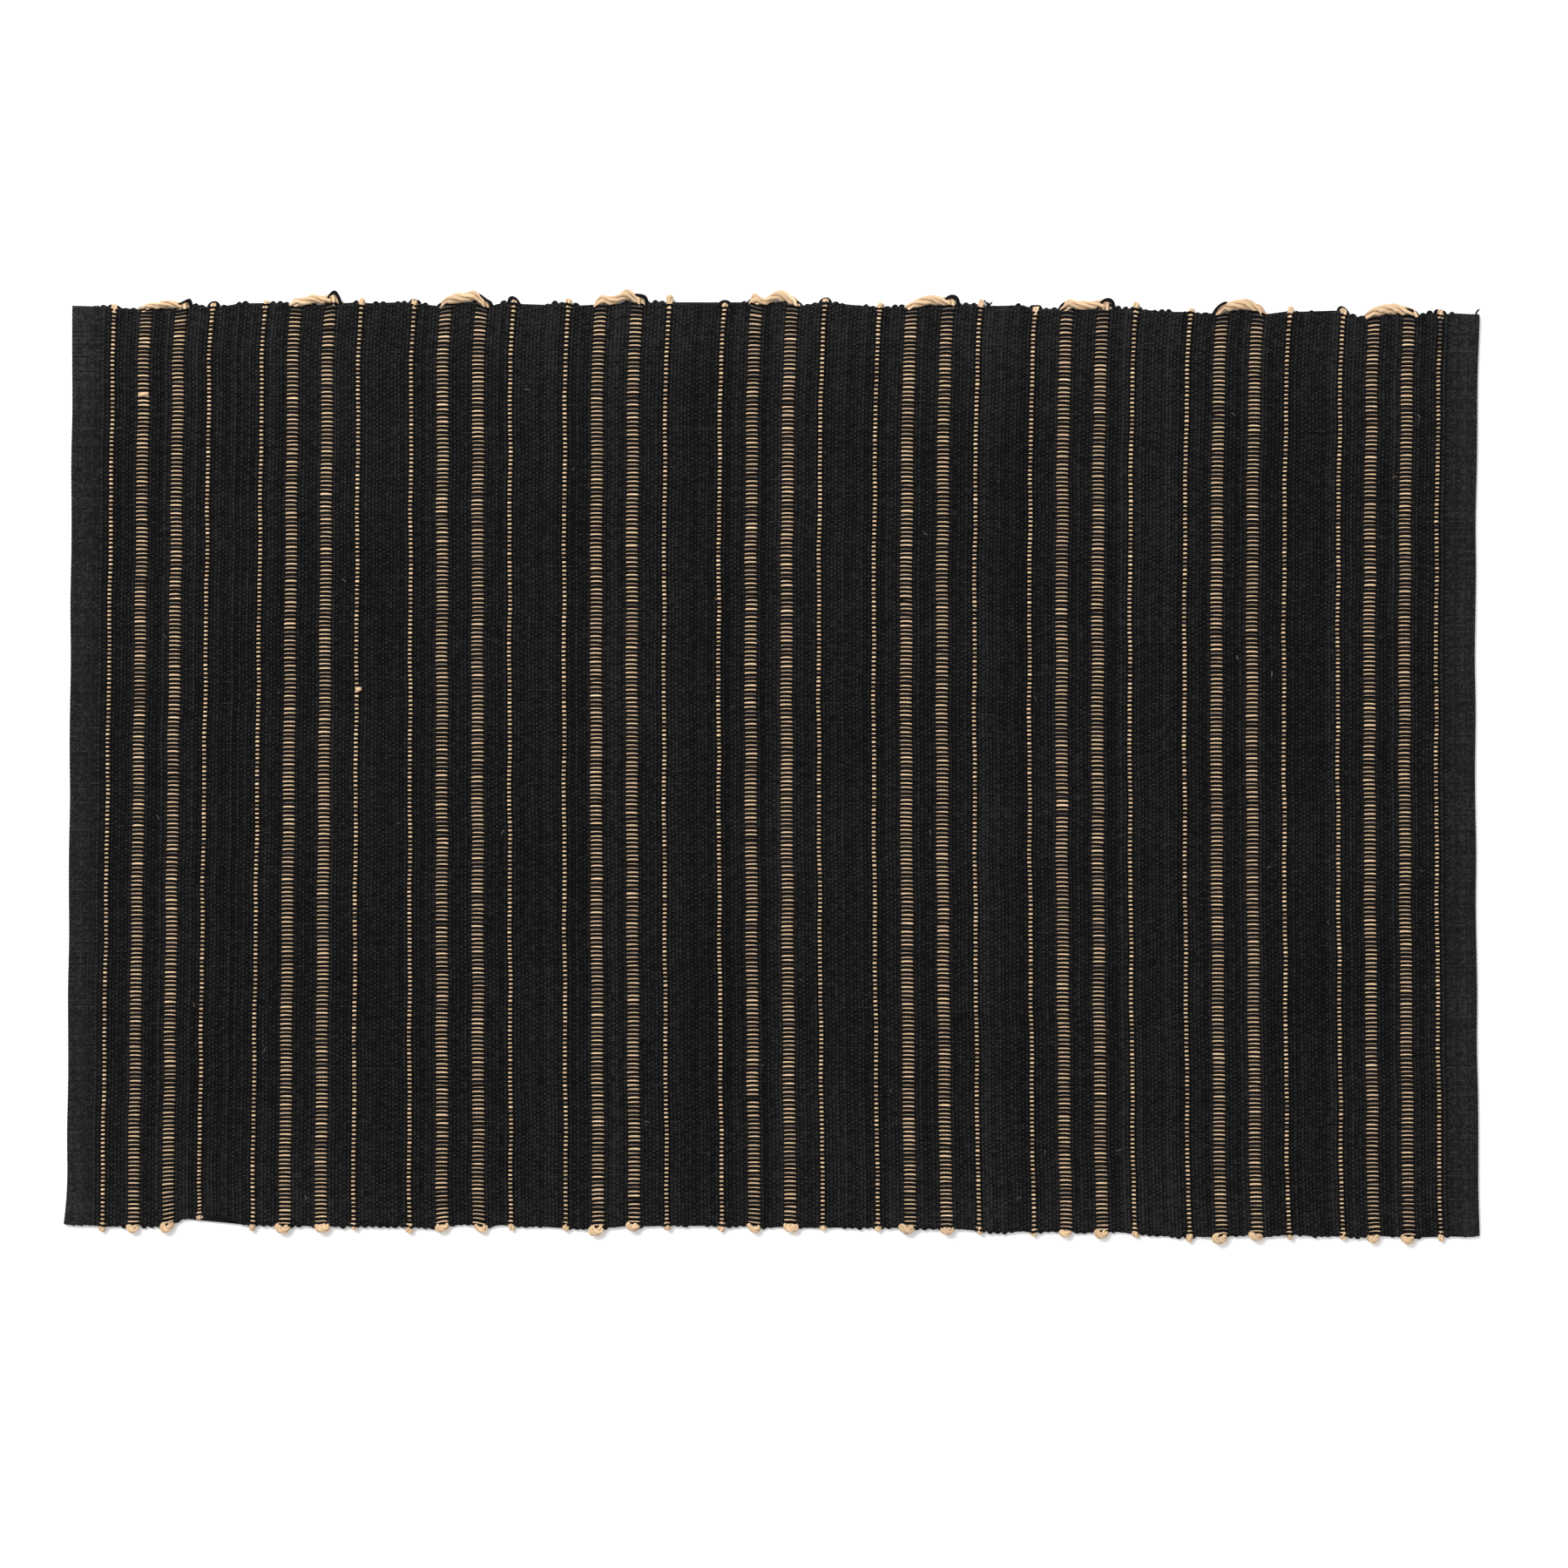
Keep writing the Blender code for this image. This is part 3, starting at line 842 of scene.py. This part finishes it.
def add_slubs(shape, number):
    """The lumps of loose fibre that stand out across a stripe."""
    t = np.linspace(-1, 1, 14)
    for owner, v, length, aside in SLUBS:
        if owner == number:
            z = yarn_z + yarn_radius + 0.0006 - 0.0014 * t**2
            path = np.column_stack([sheds[number].middle + aside + length / 2 * t, v + 0.0004 * t, z])
            taper = (SLUB_TAPER, SLUB_TAPER)
            add_plied(shape, path, SLUB_SIZE, SLUB_TONE, spread=1.2, twist=SLUB_TWIST, taper=taper)


def add_lint(shape, middle):
    """Short bits of fluff that have rubbed off the yarns onto the cloth round a group of stripes."""
    t = np.linspace(-1, 1, 8)
    for _ in range(LINT_PER_GROUP):
        u, v = middle + random.uniform(-LINT_ROUND, LINT_ROUND), random.uniform(-0.95, 0.95) * half_width
        turn = random.uniform(0, np.pi)
        along, aside = random.uniform(*LINT_LENGTHS) * t, random.normal(0, LINT_BEND) * (1 - t**2)
        u = u + along * np.cos(turn) - aside * np.sin(turn)
        v = v + along * np.sin(turn) + aside * np.cos(turn)
        path = np.column_stack([u, v, cloth_top + 0.0004 - 0.0002 * t**2])
        size = random.uniform(*LINT_SIZES)
        add_tubes(shape, path[None], size, size, LINT_SIDES, (0, 0, 1), random.uniform(*LINT_TONES))


def add_turn(shape, middle):
    """The soft turn from one yarn of a thick stripe to the other, at the near selvedge."""
    radius, standoff = random.uniform(*TURN_RADII), random.uniform(*TURN_STANDOFFS)
    path = turn_path(middle, radius, standoff, random.normal(0, TURN_SKEW))
    size = yarn_radius * random.uniform(*TURN_SIZES)
    add_plied(shape, path, size, END_TONE, spread=1.3, twist=0.012, start_turn=random.uniform(0, 6))


def add_float(shape, group, middle, apart):
    """The yarn that floats along the far selvedge, between stripes that lie so far apart."""
    high_side = FLOAT_SIDES.get(group, 1)
    outer = apart / 2 + yarn_pitch / 2 + (0.0008 if high_side else 0.0026)
    reach = random.uniform(*FLOAT_REACHES) * (1 if high_side else FLAT_FLOAT)
    path = float_path(middle, outer, reach, high_side, random.uniform(0, 2))
    size = yarn_radius * FLOAT_SIZE
    add_plied(shape, path, size, FLOAT_TONE, spread=1.5, twist=0.034, start_turn=random.uniform(0, 6))


def make_thick_yarns(material):
    for group in range(1, STRIPE_GROUPS + 1):
        shape = Shape()
        own = [number for number, shed in enumerate(sheds) if shed.group == group and not shed.side]
        left, right = (sheds[number].middle for number in own)
        for number, middle in zip(own, (left, right)):
            add_legs(shape, number, (middle - PAIR_APART, middle + PAIR_APART), PAIR_WIDE)
            add_turn(shape, middle)
        add_lint(shape, (left + right) / 2)
        for number in own:
            add_slubs(shape, number)
        add_float(shape, group, (left + right) / 2, right - left)
        shape.make(f"natural_yarn_thick_{group}", material, f"thick_stripe_yarn_{group}")


def add_stub(shape, middle, edge, slant):
    """A thin stripe's cut end, at the far selvedge where edge is 1 and at the near one where it is -1."""
    reach = random.uniform(*STUB_REACHES)
    line = [(middle, edge * (half_width - 0.003), yarn_z), (middle, edge * (half_width - 0.0004), yarn_z)]
    line += [(middle + slant, edge * (half_width + reach), yarn_z - random.uniform(0, STUB_DROP))]
    flare, start_turn = random.uniform(*STUB_FLARES), random.uniform(0, 6)
    size = yarn_radius * STUB_SIZE
    add_plied(shape, curve(line, 18), size, END_TONE, spread=flare, start_turn=start_turn, taper=(1, 0.35))


def make_thin_yarns(material):
    for number, shed in enumerate(sheds):
        if not shed.side:
            continue
        shape = Shape()
        add_legs(shape, number, (shed.middle,), SINGLE_WIDE)
        add_slubs(shape, number)
        add_stub(shape, shed.middle, 1, FAR_SLANT * random.normal())
        add_stub(shape, shed.middle, -1, -STUB_SLANT if shed.side == "left" else STUB_SLANT)
        place = f"{shed.side}_{shed.group}"
        shape.make(f"natural_yarn_thin_{place}", material, f"thin_stripe_yarn_{place}")


def weft_turn(a, b, side):
    """The black weft's way from one pick to the next round a selvedge, and its radius."""
    gap = b - a
    fine, wide = gap < FINE_GAP, gap > WIDE_GAP
    reach = random.uniform(*(FAR_REACHES if side > 0 else NEAR_REACHES)) * (HEM_REACH if fine else 1)
    z = cloth_top * random.uniform(0.42, 0.56)
    if wide:
        reach = random.uniform(*(FAR_LOOPS if side > 0 else NEAR_LOOPS))
        z = yarn_z + (random.uniform(-0.0012, 0.0018) if side > 0 else -0.0006)
    angle = np.linspace(0, np.pi, WIDE_TURN_RINGS if wide else TURN_RINGS)
    cosine = np.cos(angle)
    u = (a + b) / 2 - gap / 2 * np.sign(cosine) * np.abs(cosine) ** 0.8
    v = side * (half_width - TURN_DEPTH + (reach + TURN_DEPTH) * np.sin(angle) ** 0.7)
    z = np.full(len(u), z) - (0.0012 * np.abs(cosine) if wide else 0)
    if fine:
        size = FINE_WEFT
    else:
        size = WIDE_WEFT if wide else random.uniform(*WEFT_SIZES)
    return np.column_stack([u, v, z]), size


def make_weft_turns(material):
    """The black weft where it turns back at a selvedge, with a longer loop where it passes a natural yarn."""
    for side, word in ((1, "far"), (-1, "near")):
        shape = Shape()
        first = 0 if side > 0 else 1
        pairs = zip(black_picks[first:-1:2], black_picks[first + 1 :: 2])
        turns = [weft_turn(a, b, side) for a, b in pairs]
        for rings in (TURN_RINGS, WIDE_TURN_RINGS):
            paths = np.stack([path for path, _ in turns if len(path) == rings])
            sizes = np.array([[size] for path, size in turns if len(path) == rings])
            tone = WEFT_TONE + random.normal(0, WEFT_SHADES, sizes.shape)
            add_tubes(shape, paths, sizes, sizes, WEFT_SIDES, (0, 0, 1), tone, cells_in_row=12)
        shape.make(f"weft_turns_{word}", material, "ground_cloth")


def add_slack_loop(shape, corner, side):
    """A slack loop of black weft round the end of a float, on this side of it."""
    grow = random.uniform(*LOOP_GROWTHS)
    outer = tuple((away, out * grow, up) for away, out, up in SLACK_LOOP_OUTER)
    way = SLACK_LOOP + outer + SLACK_LOOP_BACK
    points = [(corner + side * away / 1000, half_width + out / 1000, up / 1000) for away, out, up in way]
    size = random.uniform(*LOOP_SIZES)
    add_tubes(shape, curve(points, 36)[None], size, size, WEFT_SIDES, (0, 0, 1), WEFT_TONE)


def add_tail(shape, u, lean):
    """A short tail of black weft out of the far selvedge, which leans so many millimetres to the right."""
    reach = random.uniform(*TAIL_REACHES)
    points = [(u, half_width - 0.002, 0.003), (u + 0.0002 * lean, half_width + 0.001, 0.0036)]
    points += [(u + 0.0006 * lean, half_width + 0.6 * reach, 0.0036)]
    points += [(u + 0.001 * lean, half_width + reach, 0.0030)]
    size = TAIL_SIZE * np.sqrt(np.linspace(1, 0.02, 24))
    add_tubes(shape, curve(points, 24)[None], size, size, WEFT_SIDES, (0, 0, 1), WEFT_TONE)


def make_slack_loops(material):
    """Slack loops of black weft round an end of most floats, and short tails of it at the far selvedge."""
    shape = Shape()
    for group in range(1, STRIPE_GROUPS + 1):
        if group in NO_LOOP_GROUPS:
            continue
        side = FLOAT_SIDES.get(group, 1)
        low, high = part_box(f"thick_stripe_yarn_{group}")
        add_slack_loop(shape, (low.x if side < 0 else high.x) - side * yarn_radius, side)
    for u, leans in ((TAIL_U, (-3.2, -0.6, 2.4)), (half_length - CORNER_TAIL, (1.6, 3.0))):
        for lean in leans:
            add_tail(shape, u, lean)
    shape.make("slack_weft_loops", material, "ground_cloth")


def stitch_paths(u, radius, up):
    """The stitches of one thread, on the upper face where up is 1 and on the underside where it is -1."""
    count = int(round(2 * half_width / STITCH_LENGTH))
    t = np.linspace(0, 1, 9)
    starts = np.linspace(-half_width, half_width, count + 1)[:-1]
    surface, middle = (cloth_top, STITCH_LIFT) if up > 0 else (0.0, -radius)
    rise = np.sqrt(np.clip(1 - np.abs(2 * t - 1) ** 4, 0, 1))
    path = np.zeros((count, len(t), 3))
    path[..., 0] = u + random.normal(0, 0.00008, (count, 1))
    path[..., 1] = starts[:, None] + STITCH_LENGTH * t
    path[..., 2] = surface + up * (-STITCH_DIP + (STITCH_DIP + middle) * rise)
    return path


def make_hem_stitches(material):
    for word in ("left", "right"):
        for layer, up in (("needle", 1), ("bobbin", -1)):
            thread = f"hem_{layer}_thread_{word}"
            low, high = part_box(thread)
            radius = (high.z - low.z) / 2
            path = stitch_paths((low.x + high.x) / 2, radius, up)
            shape = Shape()
            add_tubes(shape, path, radius, radius * 0.9, STITCH_SIDES, (1, 0, 0), 0.5, cells_in_row=9)
            shape.make(f"hem_{layer}_stitches_{word}", material, thread)


# Materials


def node(tree, kind, **settings):
    made = tree.nodes.new(kind)
    for key, value in settings.items():
        setattr(made, key, value)
    return made


def put(tree, target, source):
    """Links an output to a socket, or sets the socket to a number."""
    if isinstance(source, bpy.types.NodeSocket):
        tree.links.new(source, target)
    else:
        target.default_value = source


def maths(tree, operation, a, b=0.0, c=0.0, clamp=False):
    made = node(tree, "ShaderNodeMath", operation=operation, use_clamp=clamp)
    for target, source in zip(made.inputs, (a, b, c)):
        put(tree, target, source)
    return made.outputs[0]


def around_zero(tree, source, size):
    """A noise of 0 to 1 as a change of up to half the size, up or down."""
    return maths(tree, "MULTIPLY_ADD", source, size, -size / 2)


def attribute(tree, name, output):
    return node(tree, "ShaderNodeAttribute", attribute_name=name).outputs[output]


def noise(tree, place, scale, detail=3.0, roughness=0.6):
    made = node(tree, "ShaderNodeTexNoise")
    put(tree, made.inputs["Vector"], place)
    made.inputs["Scale"].default_value = scale
    made.inputs["Detail"].default_value = detail
    made.inputs["Roughness"].default_value = roughness
    return made.outputs["Fac"]


def stretched(tree, place, scale, rotation=(0, 0, 0)):
    made = node(tree, "ShaderNodeMapping")
    put(tree, made.inputs["Vector"], place)
    made.inputs["Scale"].default_value = scale
    made.inputs["Rotation"].default_value = rotation
    return made.outputs["Vector"]


def ramp(tree, factor, stops):
    made = node(tree, "ShaderNodeValToRGB")
    put(tree, made.inputs["Fac"], factor)
    elements = made.color_ramp.elements
    while len(elements) < len(stops):
        elements.new(1.0)
    for element, (position, colour) in zip(elements, stops):
        element.position = position
        element.color = (*colour, 1)
    return made.outputs["Color"]


def mixed(tree, factor, a, b):
    made = node(tree, "ShaderNodeMix", data_type="RGBA")
    put(tree, made.inputs["Factor"], factor)
    put(tree, made.inputs["A"], a)
    put(tree, made.inputs["B"], b)
    return made.outputs["Result"]


def start_material(name, roughness, specular, sheen):
    material = bpy.data.materials.new(name)
    material.use_nodes = True
    tree = material.node_tree
    shader = tree.nodes["Principled BSDF"]
    shader.inputs["Roughness"].default_value = roughness
    shader.inputs["Specular IOR Level"].default_value = specular
    shader.inputs["Sheen Weight"].default_value = sheen
    shader.inputs["Sheen Roughness"].default_value = 0.5
    return material, tree, shader


def add_bump(tree, shader, height, strength, distance):
    made = node(tree, "ShaderNodeBump")
    made.inputs["Strength"].default_value = strength
    made.inputs["Distance"].default_value = distance
    put(tree, made.inputs["Height"], height)
    tree.links.new(made.outputs["Normal"], shader.inputs["Normal"])


def black_cotton():
    """Dyed cotton: crowns a little lighter than crevices (wear and painted shade), fine fibres, faint worn
    patches and specks of lint.

    The grain's mark makes it lighter in the hems, and natural where the underside's beads are.
    """
    material, tree, shader = start_material("black_cotton_weave", 0.9, 0.06, 0.02)
    object_place = node(tree, "ShaderNodeTexCoord").outputs["Object"]
    split = node(tree, "ShaderNodeSeparateXYZ")
    tree.links.new(attribute(tree, "grain", "Vector"), split.inputs[0])
    mark = split.outputs["Z"]
    patches = noise(tree, object_place, 9.0, 4.0)
    fibres = noise(tree, stretched(tree, object_place, (1.0, 2.6, 1.0)), 2600.0, 4.0, 0.7)
    # The tone attribute carries painted shade in the crevices and grooves, and painted light towards the
    # selvedges
    value = maths(tree, "ADD", attribute(tree, "tone", "Fac"), around_zero(tree, fibres, 0.5))
    value = maths(tree, "ADD", value, around_zero(tree, patches, 0.4), clamp=True)
    stops = [(0, (0.0012, 0.0011, 0.0012)), (0.5, (0.0058, 0.0055, 0.0057)), (1, (0.0205, 0.0197, 0.0200))]
    ground = ramp(tree, value, stops)
    stops = [(0, (0.0040, 0.0040, 0.0043)), (0.5, (0.0094, 0.0094, 0.0098)), (1, (0.0240, 0.0240, 0.0250))]
    colour = mixed(tree, mark, ground, ramp(tree, value, stops))
    specks = maths(tree, "GREATER_THAN", noise(tree, object_place, 700.0, 2.0, 0.5), 0.775)
    colour = mixed(tree, maths(tree, "MULTIPLY", specks, 0.5), colour, (0.045, 0.042, 0.038, 1))
    natural = maths(tree, "MULTIPLY_ADD", mark, -5.0, -2.0, clamp=True)
    stops = [(0, (0.090, 0.060, 0.040)), (0.5, (0.300, 0.195, 0.115)), (1, (0.620, 0.420, 0.240))]
    colour = mixed(tree, natural, colour, ramp(tree, value, stops))
    tree.links.new(colour, shader.inputs["Base Color"])
    tree.links.new(maths(tree, "MULTIPLY_ADD", fibres, 0.16, 0.82), shader.inputs["Roughness"])
    add_bump(tree, shader, fibres, 0.55, 0.00012)
    return material


def natural_yarn():
    """Unbleached cotton: each bead its own shade, from dim and greyish, partly black fibre and partly painted
    shade, to warm and pale.
    """
    material, tree, shader = start_material("natural_yarn_spun", 0.85, 0.2, 0.12)
    object_place = node(tree, "ShaderNodeTexCoord").outputs["Object"]
    grain = attribute(tree, "grain", "Vector")
    slant = (0, 0, 0.42)
    fibres = noise(tree, stretched(tree, grain, (0.16, 1.0, 1.0), slant), 4200.0, 4.0, 0.65)
    clumps = noise(tree, stretched(tree, grain, (0.3, 1.0, 1.0), slant), 1100.0, 2.0)
    # The tone attribute carries painted shade where plies wind beneath, where thick stripes go under floats,
    # and in dim beads
    value = maths(tree, "ADD", attribute(tree, "tone", "Fac"), around_zero(tree, fibres, 0.34))
    value = maths(tree, "ADD", value, around_zero(tree, clumps, 0.3), clamp=True)
    stops = [(0.0, (0.024, 0.017, 0.013)), (0.30, (0.115, 0.077, 0.051)), (0.60, (0.405, 0.272, 0.160))]
    stops += [(0.85, (0.635, 0.435, 0.250)), (1.0, (0.760, 0.580, 0.385))]
    grey = maths(tree, "MULTIPLY", noise(tree, object_place, 260.0, 2.0), 0.25)
    colour = mixed(tree, grey, ramp(tree, value, stops), (0.30, 0.27, 0.24, 1))
    tree.links.new(colour, shader.inputs["Base Color"])
    tree.links.new(maths(tree, "MULTIPLY_ADD", fibres, 0.2, 0.74), shader.inputs["Roughness"])
    add_bump(tree, shader, maths(tree, "ADD", fibres, clumps), 0.6, 0.00016)
    return material


def sewing_thread():
    """Black polyester thread with a fine spiral of its plies."""
    material, tree, shader = start_material("hem_thread", 0.8, 0.08, 0.0)
    wave = node(tree, "ShaderNodeTexWave", wave_type="BANDS", bands_direction="X")
    grain = attribute(tree, "grain", "Vector")
    put(tree, wave.inputs["Vector"], stretched(tree, grain, (1, 1, 1), (0, 0, 0.8)))
    wave.inputs["Scale"].default_value = 700.0
    plies = wave.outputs["Fac"]
    shade = ramp(tree, plies, [(0.0, (0.004, 0.004, 0.0045)), (1.0, (0.016, 0.016, 0.017))])
    tree.links.new(shade, shader.inputs["Base Color"])
    tree.links.new(maths(tree, "MULTIPLY_ADD", plies, 0.2, 0.5), shader.inputs["Roughness"])
    add_bump(tree, shader, plies, 0.5, 0.00008)
    return material


# The studio


def make_floor():
    mesh = bpy.data.meshes.new("floor")
    corners = [(x * FLOOR_HALF, y * FLOOR_HALF, 0) for x, y in ((-1, -1), (1, -1), (1, 1), (-1, 1))]
    mesh.from_pydata(corners, [], [(0, 1, 2, 3)])
    material, _, shader = start_material("floor_paint", 0.9, 0.1, 0.0)
    shader.inputs["Base Color"].default_value = (*FLOOR_PAINT, 1)
    mesh.materials.append(material)
    floor = bpy.data.objects.new("floor", mesh)
    bpy.context.scene.collection.objects.link(floor)


def make_light(name, location, size, power):
    """A square lamp that looks at the middle of the mat."""
    data = bpy.data.lights.new(name, "AREA")
    data.shape = "SQUARE"
    data.size = size
    data.energy = power
    lamp = bpy.data.objects.new(name, data)
    lamp.location = location
    x, y, z = location
    lamp.rotation_euler = (math.atan2(math.hypot(x, y), z), 0, math.atan2(x, -y))
    bpy.context.scene.collection.objects.link(lamp)


def make_studio():
    world = bpy.data.worlds.new("studio")
    bpy.context.scene.world = world
    world.use_nodes = True
    background = world.node_tree.nodes["Background"]
    background.inputs["Color"].default_value = (1, 1, 1, 1)
    background.inputs["Strength"].default_value = SKY_STRENGTH
    make_light("key", location=(-1.6, 2.2, 3.0), size=2.4, power=225)
    make_light("fill", location=(1.8, -1.6, 3.0), size=2.4, power=35)
    bpy.context.scene.view_settings.view_transform = "Standard"


def make_camera():
    """Straight above, far enough off to look flat, with the mat a little above and left of the middle."""
    data = bpy.data.cameras.new("camera")
    data.lens = CAMERA_LENS
    data.sensor_width = CAMERA_SENSOR
    data.clip_end = 50
    camera = bpy.data.objects.new("camera", data)
    camera.location = (*VIEW_MIDDLE, VIEW_WIDTH * CAMERA_LENS / CAMERA_SENSOR)
    bpy.context.scene.collection.objects.link(camera)
    bpy.context.scene.camera = camera


def main():
    make_camera()
    black, natural, thread = black_cotton(), natural_yarn(), sewing_thread()
    make_ground(black)
    make_warp_over_stripes(black)
    make_thick_yarns(natural)
    make_thin_yarns(natural)
    make_weft_turns(black)
    make_slack_loops(black)
    make_hem_stitches(thread)
    make_floor()
    make_studio()


main()
